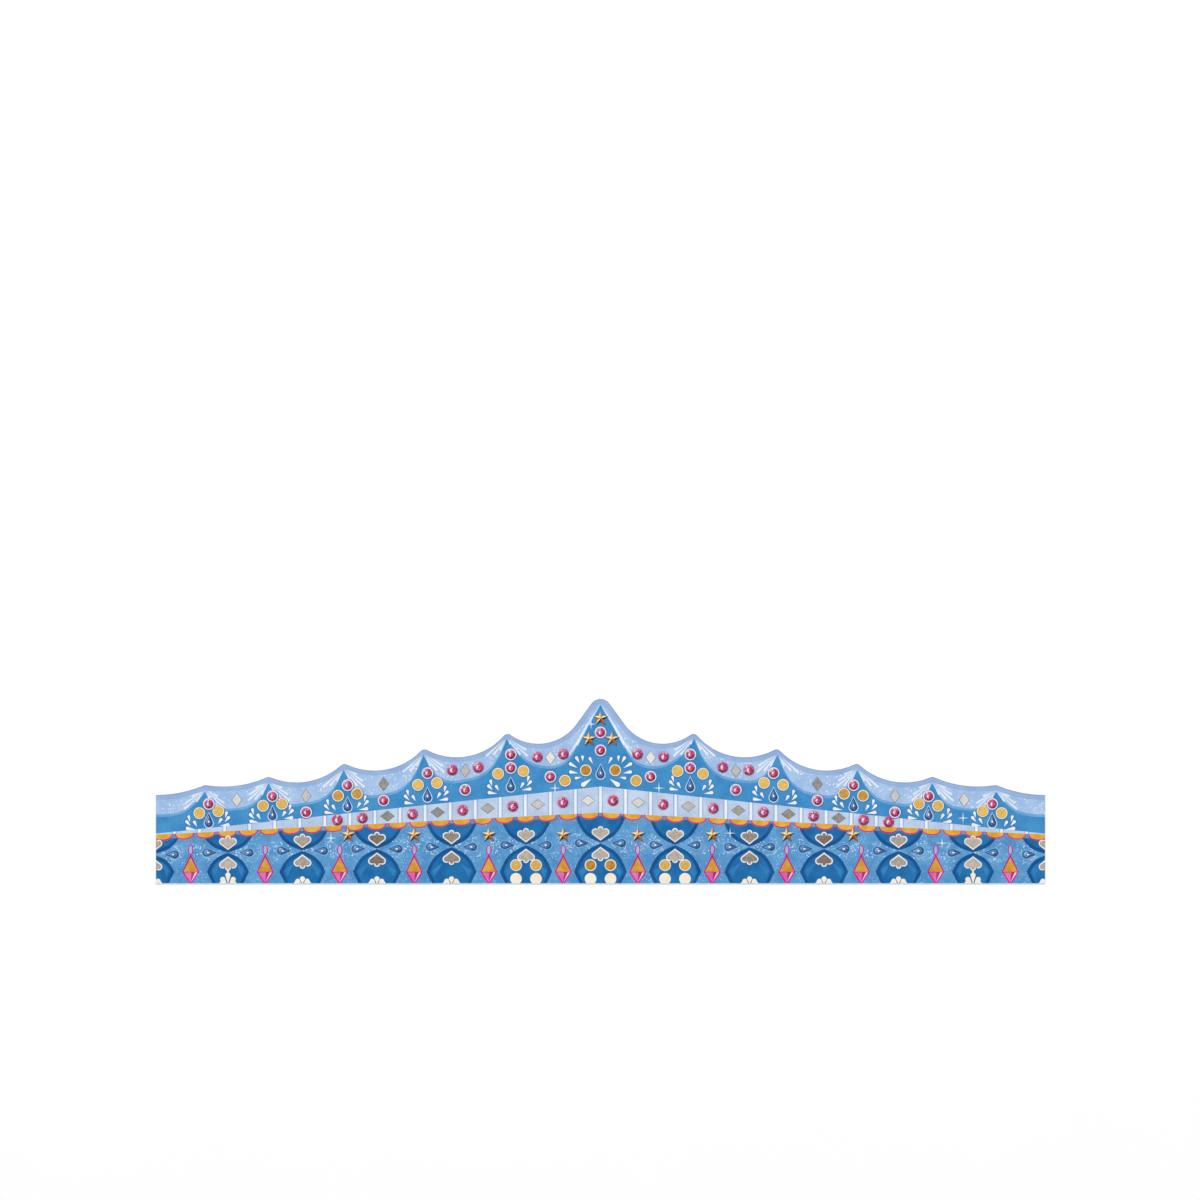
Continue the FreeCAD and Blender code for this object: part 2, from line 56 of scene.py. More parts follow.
# Driving sizes of the decoration, in millimetres
TIP_OFFSETS = (0.0, 55.3, 104.5, 151.7, 196.0, 233.6)
TIP_HEIGHTS = (CREST, 89.8, 80.3, 71.5, 63.5, 58.5)
TIPS = range(1, len(TIP_OFFSETS))
CUT_LINE = 0.45
BORDER = 3.0
APEX_DROP = 4.0
BAND_TOP, BAND_TOP_FALL = 57.6, 27.8
BAND_BOTTOM, BAND_BOTTOM_FALL = 42.2, 13.0
CELL = 14.8
SCALLOP, SCALLOP_DEPTH = 12.6, 3.8
COLUMNS = 6
COLUMN = (HALF_LENGTH + 1.5) / COLUMNS
JUNCTION, JUNCTION_FALL = 24.2, 6.7
OGEE_LINE = 2.1
RIM_HEIGHT = 0.5
RING = 6.9
GEM, SMALL_GEM, DOT = 6.4, 5.5, 5.7
DROP_LENGTH, DROP_WIDTH = 7.8, 4.3
LOZENGE_LENGTH, LOZENGE_WIDTH = 8.6, 6.4
STAR, STAR_WAIST = 8.8, 0.42
BUD_WIDTH, BUD_HEIGHT = 9.0, 6.8
BUD_LOBE, BUD_KNOB, BUD_SHOULDER, BUD_RIM = 1.4, 0.95, 0.7, 0.75


def band_top(x):
    return BAND_TOP - BAND_TOP_FALL * abs(x) / HALF_LENGTH


def band_bottom(x):
    return BAND_BOTTOM - BAND_BOTTOM_FALL * abs(x) / HALF_LENGTH


def junction(x):
    return JUNCTION - JUNCTION_FALL * abs(x) / HALF_LENGTH


def linear(level):
    """Linear light of a display level from 0 to 255."""
    level /= 255
    return level / 12.92 if level <= 0.04045 else ((level + 0.055) / 1.055) ** 2.4


def rgb(red, green, blue):
    return linear(red), linear(green), linear(blue), 1.0


# Materials

class Recipe:
    """A node material that is put together step by step."""

    def __init__(self, name):
        self.material = bpy.data.materials.new(name)
        self.material.use_nodes = True
        self.tree = self.material.node_tree
        self.shader = self.tree.nodes["Principled BSDF"]
        self.place = self.add("ShaderNodeTexCoord").outputs["Object"]

    def add(self, kind, inputs=None, **settings):
        node = self.tree.nodes.new(kind)
        for key, value in settings.items():
            setattr(node, key, value)
        for key, value in (inputs or {}).items():
            if isinstance(value, bpy.types.NodeSocket):
                self.tree.links.new(value, node.inputs[key])
            else:
                node.inputs[key].default_value = value
        return node

    def noise(self, size, detail=2.0, roughness=0.5):
        """Cloudy pattern whose patches are about size millimetres wide."""
        inputs = {"Vector": self.place, "Scale": 1 / (size * MM), "Detail": detail, "Roughness": roughness}
        return self.add("ShaderNodeTexNoise", inputs).outputs["Fac"]

    def cells(self, size):
        """Cells about size millimetres wide."""
        inputs = {"Vector": self.place, "Scale": 1 / (size * MM), "Randomness": 1.0}
        return self.add("ShaderNodeTexVoronoi", inputs)

    def math(self, operation, first, second=0.0):
        return self.add("ShaderNodeMath", {0: first, 1: second}, operation=operation).outputs[0]

    def spread(self, value, low, high, to_low=0.0, to_high=1.0):
        """Value stretched from one range to another and held inside it."""
        inputs = {"Value": value, "From Min": low, "From Max": high, "To Min": to_low, "To Max": to_high}
        return self.add("ShaderNodeMapRange", inputs).outputs["Result"]

    def mix(self, share, first, second, blend="MIX"):
        node = self.add("ShaderNodeMix", data_type="RGBA", blend_type=blend)
        for index, value in ((0, share), (6, first), (7, second)):
            if isinstance(value, bpy.types.NodeSocket):
                self.tree.links.new(value, node.inputs[index])
            else:
                node.inputs[index].default_value = value
        return node.outputs[2]

    def bump(self, height, depth, strength=1.0):
        inputs = {"Height": height, "Distance": depth * MM, "Strength": strength}
        normal = self.add("ShaderNodeBump", inputs).outputs["Normal"]
        self.tree.links.new(normal, self.shader.inputs["Normal"])

    def finish(self, colour, **constants):
        self.tree.links.new(colour, self.shader.inputs["Base Color"])
        for key, value in constants.items():
            self.shader.inputs[key.replace("_", " ")].default_value = value
        return self.material


def ink(name, main, second, blotch=9.0, grain=0.10, specks=None, speck_size=1.1, speck_reach=0.26):
    """Printed ink: two tones that drift into each other, fine grain and, if asked, pale specks."""
    recipe = Recipe(name)
    colour = recipe.mix(recipe.spread(recipe.noise(blotch), 0.35, 0.65), rgb(*main), rgb(*second))
    if specks:
        cells = recipe.cells(speck_size)
        chosen = recipe.spread(recipe.noise(6.0), 0.42, 0.58)
        near = recipe.spread(cells.outputs["Distance"], speck_reach, speck_reach * 0.55)
        colour = recipe.mix(recipe.math("MULTIPLY", near, chosen), colour, rgb(*specks))
    fine = recipe.noise(0.8, 3.0, 0.7)
    shade = recipe.spread(fine, 0.25, 0.75, 1 - grain, 1 + grain)
    grey = recipe.add("ShaderNodeCombineColor", {0: shade, 1: shade, 2: shade}).outputs[0]
    colour = recipe.mix(1.0, colour, grey, "MULTIPLY")
    recipe.bump(fine, 0.02, 0.25)
    return recipe.finish(colour, Roughness=0.45, Specular_IOR_Level=0.14)


def tone_of(recipe):
    """Tone of a face, from 0 in the facets with painted shade to 1 in the painted glints; flat foil uses it for
    its rim colour.
    """
    return recipe.add("ShaderNodeAttribute", attribute_name="tone").outputs["Fac"]


def stone(name, tones, roughness=0.08, specular=0.6, coat=0.4):
    """Cut resin stone: every facet is coloured by its tone of painted light and shade, with a little cloud inside.
    """
    recipe = Recipe(name)
    cloud = recipe.spread(recipe.noise(1.1), 0.3, 0.7, -0.06, 0.06)
    level = recipe.math("ADD", tone_of(recipe), cloud)
    ramp = recipe.add("ShaderNodeValToRGB", {0: level})
    stops = ramp.color_ramp.elements
    while len(stops) < len(tones):
        stops.new(0.5)
    for stop, (position, tone) in zip(stops, tones):
        stop.position = position
    for stop, (position, tone) in zip(stops, tones):
        stop.color = rgb(*tone)
    return recipe.finish(ramp.outputs["Color"], Roughness=roughness, Specular_IOR_Level=specular, Coat_Weight=coat,
                         Coat_Roughness=0.05)


def foil(name, pale, deep, edge, grain_size=0.45):
    """Glitter foil: flakes of two tones, paler with a painted reflection or deeper with painted shade from sticker
    to sticker, and a rim.
    """
    recipe = Recipe(name)
    flakes = recipe.cells(grain_size)
    flake_tone = recipe.add("ShaderNodeSeparateColor", {0: flakes.outputs["Color"]}).outputs[0]
    patches = recipe.spread(recipe.noise(2.2), 0.3, 0.7, -0.3, 0.3)
    share = recipe.spread(recipe.math("ADD", flake_tone, patches), 0.05, 0.95)
    shade = recipe.add("ShaderNodeAttribute", attribute_name="shade").outputs["Fac"]
    light, dark = [recipe.mix(shade, rgb(*pale[level]), rgb(*deep[level])) for level in range(2)]
    colour = recipe.mix(share, light, dark)
    colour = recipe.mix(tone_of(recipe), colour, rgb(*edge))
    recipe.bump(flake_tone, 0.03, 0.5)
    return recipe.finish(colour, Metallic=0.2, Roughness=0.38, Specular_IOR_Level=0.5)


INKS = {
    "cut_line": ink("ink_cut_line", (128, 158, 208), (140, 168, 214)),
    "border": ink("ink_border", (150, 181, 226), (160, 190, 232)),
    "swag": ink("ink_swag", (160, 194, 236), (178, 206, 242), specks=(236, 246, 255), speck_size=1.5,
                speck_reach=0.36),
    "swag_shade": ink("ink_swag_shade", (104, 165, 218), (120, 178, 226)),
    "upper_field": ink("ink_upper_field", (58, 139, 200), (74, 153, 210), blotch=12.0, grain=0.2),
    "ray": ink("ink_ray", (224, 238, 252), (238, 246, 254)),
    "white": ink("ink_white", (240, 246, 252), (250, 252, 254), grain=0.03),
    "cream": ink("ink_cream", (250, 238, 206), (252, 244, 222), grain=0.03),
    "pale_cream": ink("ink_pale_cream", (250, 238, 214), (254, 248, 232), grain=0.03),
    "stone_line": ink("ink_stone_line", (128, 184, 228), (150, 200, 236), grain=0.05),
    "bud_line": ink("ink_bud_line", (240, 236, 226), (250, 248, 242), grain=0.03),
    "band": ink("ink_band", (182, 204, 232), (204, 222, 246), blotch=14.0, specks=(236, 244, 255)),
    "stripe_shade": ink("ink_stripe_shade", (156, 184, 226), (170, 196, 232)),
    "scallop_line": ink("ink_scallop_line", (206, 36, 120), (222, 50, 134)),
    "scallop": ink("ink_scallop", (222, 162, 44), (238, 186, 74), blotch=5.0),
    "lower_field": ink("ink_lower_field", (80, 146, 202), (100, 164, 216), grain=0.16, specks=(176, 214, 244),
                       speck_reach=0.33),
    "halo": ink("ink_halo", (82, 148, 204), (106, 170, 220), grain=0.16, specks=(206, 232, 250), speck_size=1.25,
                speck_reach=0.44),
    "petal_shade": ink("ink_petal_shade", (40, 112, 178), (48, 120, 186)),
    "drop_field": ink("ink_drop_field", (58, 128, 192), (70, 140, 202)),
    "star_shade": ink("ink_star_shade", (30, 84, 142), (40, 96, 152)),
    "ogee_line": ink("ink_ogee_line", (8, 80, 142), (16, 92, 154), grain=0.14),
    "ogee": ink("ink_ogee", (20, 102, 166), (36, 122, 184), blotch=10.0, grain=0.14),
    "streak": ink("ink_streak", (44, 124, 190), (56, 134, 200)),
    "magenta": ink("ink_magenta", (188, 28, 130), (206, 46, 148)),
    "gold": ink("ink_gold", (206, 150, 40), (226, 176, 66), blotch=4.0),
    "pink": ink("ink_pink", (232, 90, 170), (240, 128, 190)),
    "deep_pink": ink("ink_deep_pink", (178, 38, 122), (196, 60, 140)),
    "pale_pink": ink("ink_pale_pink", (232, 196, 236), (240, 214, 244)),
    "rim": ink("ink_rim", (186, 220, 248), (200, 228, 250)),
}


def card_board():
    """Uncoated white card: the back and the cut edge, with paper fibre."""
    recipe = Recipe("card_board")
    fibre = recipe.noise(0.5, 4.0, 0.7)
    cloud = recipe.noise(12.0, 2.0)
    share = recipe.math("MULTIPLY", recipe.math("ADD", fibre, cloud), 0.5)
    colour = recipe.mix(recipe.spread(share, 0.3, 0.7), rgb(226, 224, 218), rgb(242, 240, 236))
    recipe.bump(fibre, 0.05, 0.4)
    return recipe.finish(colour, Roughness=0.85, Specular_IOR_Level=0.25)


# Flat drawing in millimetres

painted = []


def paint(colour, outline):
    """Lay one closed outline over what is already drawn."""
    painted.append((colour, [Vector(spot) for spot in outline]))


def paint_both(colour, outline):
    """One outline and its mirror image on the left."""
    paint(colour, outline)
    paint(colour, [(-spot[0], spot[1]) for spot in outline])


def loop_of(node):
    """Outline of the top face of a flat solid, in drawing millimetres."""
    mesh = bmesh.new()
    mesh.from_mesh(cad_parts[node].data)
    bmesh.ops.remove_doubles(mesh, verts=mesh.verts, dist=MM / 1000)
    top = [face for face in mesh.faces if face.normal.z > 0.9]
    inside = set(top)
    following = {}
    for face in top:
        for corner in face.loops:
            others = [other for other in corner.edge.link_faces if other in inside and other is not face]
            if not others:
                following[corner.vert] = corner.link_loop_next.vert
    start = min(following, key=lambda vert: (vert.co.x, vert.co.y))
    run, here = [], start
    while not run or here is not start:
        run.append((here.co.x / MM, here.co.y / MM + CREST / 2))
        here = following[here]
    mesh.free()
    return run


# Spots nearer than this are one; an offset stops growing at sharp corners, and its folds lie too near
CLOSE = 1e-6
SHARPEST, TOO_NEAR = 0.3, 0.985


def area(outline):
    return sum(a[0] * b[1] - b[0] * a[1] for a, b in zip(outline, outline[1:] + outline[:1])) / 2


def distance_to(spot, run):
    """Shortest way from a spot to a closed outline."""
    ways = []
    for first, second in zip(run, run[1:] + run[:1]):
        if (second - first).length > CLOSE:
            foot, share = geometry.intersect_point_line(spot, first, second)
            ways.append((spot - (foot.to_2d() if 0 <= share <= 1 else first)).length)
    return min(ways)


def inset(outline, distance):
    """Outline moved inwards everywhere by a distance; folds that this makes are dropped."""
    spots = [Vector(spot) for spot in outline]
    if area(spots) < 0:
        spots.reverse()
    count = len(spots)
    lines = []
    for number in range(count):
        step = spots[(number + 1) % count] - spots[number]
        if step.length > CLOSE:
            lines.append((spots[number], step.normalized()))
    moved = []
    for number, (spot, along) in enumerate(lines):
        before = lines[number - 1][1]
        normal = Vector((-along.y - before.y, along.x + before.x))
        if normal.length > CLOSE:
            normal.normalize()
            lean = normal.dot(Vector((-along.y, along.x)))
            moved.append(spot + normal * distance / max(lean, SHARPEST))
    return [spot for spot in moved if distance_to(spot, spots) > distance * TOO_NEAR]


def disc(x, y, width, height=None, sides=28):
    reach, rise = width / 2, (height or width) / 2
    turns = [math.tau * number / sides for number in range(sides)]
    return [(x + reach * math.cos(turn), y + rise * math.sin(turn)) for turn in turns]


def leaf(x, y, angle, length, width, steps=7):
    """White petal: a point at its foot and a round end; x, y is its middle and angle its way out."""
    radius = width / 2
    out = Vector((math.cos(angle), math.sin(angle)))
    side = Vector((-out.y, out.x))
    foot = Vector((x, y)) - out * length / 2
    bowl = foot + out * (length - radius)
    run = [foot]
    for number in range(steps + 1):
        turn = -math.pi / 2 + math.pi * number / steps
        run.append(bowl + out * radius * math.cos(turn) + side * radius * math.sin(turn))
    return [tuple(spot) for spot in run]


def drop_outline(x, y, length, width, turn, steps=10):
    """Outline of a teardrop whose point lies at the angle turn."""
    radius = width / 2
    lean = math.asin(radius / (length - radius))
    run = [Vector((0, length / 2))]
    for number in range(steps + 1):
        angle = math.pi - lean + number * (math.pi + 2 * lean) / steps
        run.append(Vector((radius * math.cos(angle), (width - length) / 2 + radius * math.sin(angle))))
    spin = Matrix.Rotation(turn - math.pi / 2, 2)
    return [tuple(spin @ spot + Vector((x, y))) for spot in run]


def bud_outline(x, y, point_down=True, margin=0.0, steps=9):
    """Outline of the three-lobed bud: two side lobes, a small knob between them and a point opposite."""
    lobe = Vector((BUD_WIDTH / 2 - BUD_LOBE, BUD_SHOULDER))
    top = Vector((0.0, BUD_HEIGHT / 2 - BUD_KNOB))
    foot = Vector((0.0, -BUD_HEIGHT / 2 - 1.3 * margin))
    reach = foot - lobe
    start = math.atan2(reach.y, reach.x) + math.acos((BUD_LOBE + margin) / reach.length)
    half = [foot]
    for centre, radius, first, last in ((lobe, BUD_LOBE, start, math.radians(112)),
                                        (top, BUD_KNOB, math.radians(-18), math.pi / 2)):
        for step in range(steps + 1):
            angle = first + (last - first) * step / steps
            half.append(centre + (radius + margin) * Vector((math.cos(angle), math.sin(angle))))
    run = half + [Vector((-spot.x, spot.y)) for spot in reversed(half[1:-1])]
    turn = 1 if point_down else -1
    return [(x + turn * spot.x, y + turn * spot.y) for spot in run]


def star_outline(x, y, diameter):
    run = []
    for number in range(10):
        reach = diameter / 2 * (STAR_WAIST if number % 2 else 1.0)
        angle = math.radians(90 + 36 * number)
        run.append((x + reach * math.cos(angle), y + reach * math.sin(angle)))
    return run


# Borders and swags

# Waypoints of the swag beside the crest, how deep the next ones sag, and where the last one ends
FLANK_FOOT, CREST_BAY_START, CREST_BAY_END = (17.3, 76.4), (24.0, 66.0), (44.0, 66.5)
CREST_APEX_DROP = 3.4
SWAG_SAGS = (19.0, 18.6, 15.3, 12.0)
SAG_FLATNESS, END_SWAG_BEND = 3.2, 3
END_SWAG_HEIGHT = 41.2


def tip_apex(number):
    """Apex of the printed field under a tip."""
    return Vector((TIP_OFFSETS[number], TIP_HEIGHTS[number] - APEX_DROP))


def swag_line(steps=12):
    """Lower edge of the swags on the right-hand half, from the crest's apex to the strip's end."""
    shares = [step / steps for step in range(1, steps + 1)]
    run = [(0.0, CREST - CREST_APEX_DROP), FLANK_FOOT]
    foot, start, end = Vector(FLANK_FOOT), Vector(CREST_BAY_START), Vector(CREST_BAY_END)
    for share in shares:
        # from the crest's straight flank round the low point up to the first tip
        before, middle = foot.lerp(start, share), start.lerp(end, share)
        after = end.lerp(tip_apex(1), share)
        run.append(tuple(before.lerp(middle, share).lerp(middle.lerp(after, share), share)))
    for number, sag in enumerate(SWAG_SAGS, 1):
        for share in shares:
            spot = tip_apex(number).lerp(tip_apex(number + 1), share)
            spot.y -= sag * (1 - abs(2 * share - 1) ** SAG_FLATNESS)
            run.append(tuple(spot))
    last = tip_apex(len(SWAG_SAGS) + 1)
    for share in shares:
        rise = (last.y - END_SWAG_HEIGHT) * (1 - share) ** END_SWAG_BEND
        run.append((last.x + (HALF_LENGTH - last.x) * share, END_SWAG_HEIGHT + rise))
    return run


def open_ended(run, distance):
    """Inset outline whose ends reach out to the strip's straight ends again."""
    limit = HALF_LENGTH - distance * 1.2
    return [(math.copysign(HALF_LENGTH, x) if abs(x) > limit else x, y) for x, y in run]


def field_below(right_run):
    """Closed field under a line that is given on the right and mirrored on the left."""
    left_run = [(-x, y) for x, y in reversed(right_run[1:])]
    return left_run + right_run + [(HALF_LENGTH, 0.0), (-HALF_LENGTH, 0.0)]


# Depth of the shade under a swag, and how far below an apex it is reached
SHADE_DEPTH, SHADE_FALL = 1.6, 12

outline = loop_of("crown_card")
paint("cut_line", outline)
paint("border", open_ended(inset(outline, CUT_LINE), CUT_LINE))
swag_area = open_ended(inset(outline, BORDER), BORDER)
paint("swag", swag_area)

swags = swag_line()
below_swags = field_below(swags)
paint("swag_shade", below_swags)
lowered = []
for x, y in swags:
    nearest_tip = min(range(len(TIP_OFFSETS)), key=lambda number: abs(TIP_OFFSETS[number] - x))
    share = min(1.0, abs(y - (TIP_HEIGHTS[nearest_tip] - APEX_DROP)) / SHADE_FALL)
    lowered.append((x, y - SHADE_DEPTH * share))
paint("upper_field", field_below(lowered))

# White rays that fan out from each apex along the swags: length and fall in degrees
RAYS = ((8.5, 24), (13.5, 33), (16.5, 42), (13.0, 52), (8.5, 61))
RAY_START, RAY_CLEAR, RAY_SHORTEST, RAY_HALF_WIDTH, RAY_RISE = 1.6, 0.5, 4.0, 0.66, 0.8
RAY_TRIM = 0.25

# Beside the crest a broad pale flank and two long thin rays
CREST_FLANK = ((0.2, CREST - 3.6), (5.5, 98.4), (10.2, 91.2), (14.2, 83.8), (17.0, 77.0))
CREST_RAYS = ((34, 58.5), (26, 61.0))
CREST_RAY_FOOT, CREST_RAY_START, CREST_RAY_HALF_WIDTH = (1.2, CREST - 4.6), 6.0, 0.4


def holds(run, spot):
    """Whether a closed outline surrounds a spot."""
    crossings = 0
    for first, second in zip(run, run[1:] + run[:1]):
        if (first[1] > spot.y) != (second[1] > spot.y):
            share = (spot.y - first[1]) / (second[1] - first[1])
            crossings += spot.x < first[0] + (second[0] - first[0]) * share
    return crossings % 2 == 1


def length_in_swag(x, y, angle, length):
    """Length of a ray, cut where it would leave the swag."""
    out = Vector((math.cos(angle), math.sin(angle)))
    while length > RAY_START:
        end = Vector((x, y)) + out * (length + RAY_CLEAR)
        if holds(swag_area, end) and not holds(below_swags, end):
            break
        length -= RAY_TRIM
    return length


def paint_ray(x, y, angle, start, length, half_width):
    out = Vector((math.cos(angle), math.sin(angle)))
    across = Vector((-out.y, out.x)) * half_width
    near, far = Vector((x, y)) + out * start, Vector((x, y)) + out * length
    paint_both("ray", [tuple(near), tuple(far + across), tuple(far - across)])


for number in TIPS:
    x, y = tip_apex(number) + Vector((0.0, RAY_RISE))
    for side in (-1, 1):
        for length, fall in RAYS:
            angle = math.radians(-fall if side > 0 else 180 + fall)
            length = length_in_swag(x, y, angle, length)
            if length > RAY_SHORTEST:
                paint_ray(x, y, angle, RAY_START, length, RAY_HALF_WIDTH)
paint_both("ray", CREST_FLANK)
for length, fall in CREST_RAYS:
    paint_ray(*CREST_RAY_FOOT, math.radians(-fall), CREST_RAY_START, length, CREST_RAY_HALF_WIDTH)

# Petals: fans round the inner dots under the crest, and four each side of every tip's teardrop.
# Each is x, height, way out in degrees, length and width.
CREST_PETALS = ((8.3, 60.1, -36, 7.4, 2.8), (13.2, 62.8, -10, 4.1, 1.7), (15.9, 65.9, 10, 5.5, 2.0),
                (16.1, 70.0, 30, 5.8, 2.0), (13.5, 73.4, 60, 4.6, 1.9), (10.6, 74.2, 88, 3.5, 1.6),
                (5.6, 72.9, 62, 4.6, 1.7))
TIP_PETALS = ((10.1, -3.9, 8, 5.8, 2.0), (7.3, -1.2, 60, 4.0, 1.8), (11.5, -0.5, 48, 4.4, 1.9),
              (10.9, 2.2, 78, 4.0, 1.7))
TIP_PETAL_SHIFT = 0.7
BAND_SLOPE = BAND_TOP_FALL / HALF_LENGTH

# A painted shadow shows a little past its petal or ring and lies down to the right of it
SHADE_RIGHT, SHADE_DOWN, SHADE_WIDER, SHADE_LONGER = 0.1, 0.15, 0.8, 1.0


def paint_petal(x, y, angle, length, width):
    turn = math.radians(angle)
    # painted shadow under the petal, moved down to the right
    paint_both("petal_shade",
               leaf(x + SHADE_RIGHT, y - SHADE_DOWN, turn, length + SHADE_LONGER, width + SHADE_WIDER))
    paint_both("white", leaf(x, y, turn, length, width))


def centre_of(node):
    low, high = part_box(node)
    return (low.x + high.x) / 2 / MM, (low.y + high.y) / 2 / MM + CREST / 2


for petal in CREST_PETALS:
    paint_petal(*petal)
for number in TIPS:
    x, y = centre_of("tip_%d_drop_right" % number)
    for side in (-1, 1):
        for reach, rise, angle, length, width in TIP_PETALS:
            along = TIP_PETAL_SHIFT + side * reach
            way_out = angle if side > 0 else 180 - angle
            paint_petal(x + along, y + rise - BAND_SLOPE * along, way_out, length, width)

# The lower field with its halo of specks round each meeting point of two arches
HALO_REACH, HALO_WAIST, HALO_SWELL, HALO_SIDES = 21.5, 1.2, 10.0, 32
paint("lower_field", [(-HALF_LENGTH, band_bottom(HALF_LENGTH)), (0.0, band_bottom(0.0)),
                      (HALF_LENGTH, band_bottom(HALF_LENGTH)), (HALF_LENGTH, 0.0), (-HALF_LENGTH, 0.0)])
for number in range(-COLUMNS, COLUMNS + 1):
    x = number * COLUMN
    run = []
    for step in range(HALO_SIDES):
        turn = math.tau * step / HALO_SIDES
        rise = (HALO_WAIST + HALO_SWELL * abs(math.sin(turn))) * math.cos(turn)
        run.append((x + HALO_REACH * math.sin(turn), junction(x) + rise))
    paint("halo", run)

# Pointed arches, one hanging from the scallops and one rising from the bottom rim in each column
UPPER_HALF_WIDTH, UPPER_TUCK = 14.9, 2.0
LOWER_HALF_WIDTHS = (15.6, 15.5, 14.8, 14.2, 13.6, 12.4, 12.4)
LOWER_MIDDLE, LOWER_TAPER = 7.2, 3.5
APEX_GAP, APEX_SLANT = 0.12, 1.15

# A streak of light in each foot of the lower arch: an inner spot, and two spots in from the arch's side
STREAK_INNER, STREAK_OUTER, STREAK_FOOT = (5.0, 12.6), (3.2, 8.2), (4.6, 4.4)


def arch_rise(share):
    """Rise of an arch's side, from 0 at its pointed apex to 1 at its widest."""
    return 0.42 * abs(share) + 0.58 * share ** 4


def upper_ogee(x, inner=0.0, steps=10):
    top, reach = band_bottom(x) - UPPER_TUCK, UPPER_HALF_WIDTH - inner
    apex = junction(x) + APEX_GAP + inner * APEX_SLANT
    shares = [-1 + step / steps for step in range(2 * steps + 1)]
    return [(x + reach * share, apex + (top - apex) * arch_rise(share)) for share in shares]


def lower_ogee(x, half_width, inner=0.0, steps=10):
    apex, reach = junction(x) - APEX_GAP - inner * APEX_SLANT, half_width - inner
    shares = [1 - step / steps for step in range(2 * steps + 1)]
    run = [(x + reach * share, LOWER_MIDDLE + (apex - LOWER_MIDDLE) * (1 - arch_rise(share))) for share in shares]
    return run + [(x - reach + LOWER_TAPER, 0.0), (x + reach - LOWER_TAPER, 0.0)]


for number in range(-COLUMNS, COLUMNS + 1):
    x = number * COLUMN
    half_width = LOWER_HALF_WIDTHS[abs(number)]
    for colour, inner in (("ogee_line", 0.0), ("ogee", OGEE_LINE)):
        paint(colour, upper_ogee(x, inner))
    for colour, inner in (("ogee_line", 0.0), ("ogee", OGEE_LINE)):
        paint(colour, lower_ogee(x, half_width, inner))
    for side in (-1, 1):
        run = [(x + side * STREAK_INNER[0], STREAK_INNER[1])]
        for inner, height in (STREAK_OUTER, STREAK_FOOT):
            run.append((x + side * (half_width - inner), height))
        paint("streak", run)

# Pendants between the columns: a loop over a two-coloured diamond; widths run from its middle
LOOP_HEIGHT, LOOP_SIDES = 20.2, 20
LOOPS = (("magenta", 3.2, 6.4), ("stripe_shade", 1.8, 5.0))
DIAMOND_TOP, DIAMOND_MIDDLE, DIAMOND_FOOT, DIAMOND_REACH = 18.0, 7.2, -0.2, 5.1
DIAMOND_BLUNT, GOLD_TOP, GOLD_INSET, GOLD_LIFT = 0.4, 15.6, 0.9, 0.15
PINK_INSET, PINK_DROP, PINK_FOOT = 1.1, 0.3, 0.8
PINKS = (("pink", PINK_INSET - DIAMOND_REACH, 0.4), ("deep_pink", 0.4, 2.6),
         ("pale_pink", 2.6, DIAMOND_REACH - PINK_INSET))
for number in range(COLUMNS):
    x = (number + 0.5) * COLUMN
    for colour, across, up in LOOPS:
        paint_both(colour, disc(x, LOOP_HEIGHT, across, up, LOOP_SIDES))
    paint_both("magenta", [
        (x, DIAMOND_TOP), (x + DIAMOND_REACH, DIAMOND_MIDDLE), (x + DIAMOND_BLUNT, DIAMOND_FOOT),
        (x - DIAMOND_BLUNT, DIAMOND_FOOT), (x - DIAMOND_REACH, DIAMOND_MIDDLE)])
    reach, height = DIAMOND_REACH - GOLD_INSET, DIAMOND_MIDDLE + GOLD_LIFT
    paint_both("gold", [(x, GOLD_TOP), (x + reach, height), (x - reach, height)])
    height = DIAMOND_MIDDLE - PINK_DROP
    for place in (x, -x):
        for colour, left, right in PINKS:
            paint(colour, [(place + left, height), (place + right, height), (place, PINK_FOOT)])

# The striped band and the scallops that hang from it
SCALLOPS, STRIPES = 21, 17
SCALLOP_GAP, SCALLOP_LINE, SCALLOP_SIDES, SCALLOP_FULLNESS = 1.0, 0.75, 14, 0.8
STRIPE_HALF_WIDTHS = (("stripe_shade", 1.5), ("white", 0.75))
for number in range(-SCALLOPS, SCALLOPS):
    x = (number + 0.5) * SCALLOP
    for colour, inner in (("scallop_line", 0.0), ("scallop", SCALLOP_LINE)):
        reach, depth = (SCALLOP - SCALLOP_GAP) / 2 - inner, SCALLOP_DEPTH - inner
        run = []
        for step in range(SCALLOP_SIDES + 1):
            turn = math.pi * step / SCALLOP_SIDES
            along = x - reach * math.cos(turn)
            run.append((along, band_bottom(along) - depth * math.sin(turn) ** SCALLOP_FULLNESS))
        paint(colour, run)
paint("band", [(-HALF_LENGTH, band_bottom(HALF_LENGTH)), (0.0, band_bottom(0.0)),
               (HALF_LENGTH, band_bottom(HALF_LENGTH)), (HALF_LENGTH, band_top(HALF_LENGTH)),
               (0.0, band_top(0.0)), (-HALF_LENGTH, band_top(HALF_LENGTH))])
for number in range(-STRIPES, STRIPES + 1):
    x = number * CELL
    for colour, half in STRIPE_HALF_WIDTHS:
        # the middle stripe bends with the band
        places = (x - half, x, x + half) if number == 0 else (x - half, x + half)
        paint(colour, [(place, band_bottom(place)) for place in places]
              + [(place, band_top(place)) for place in reversed(places)])

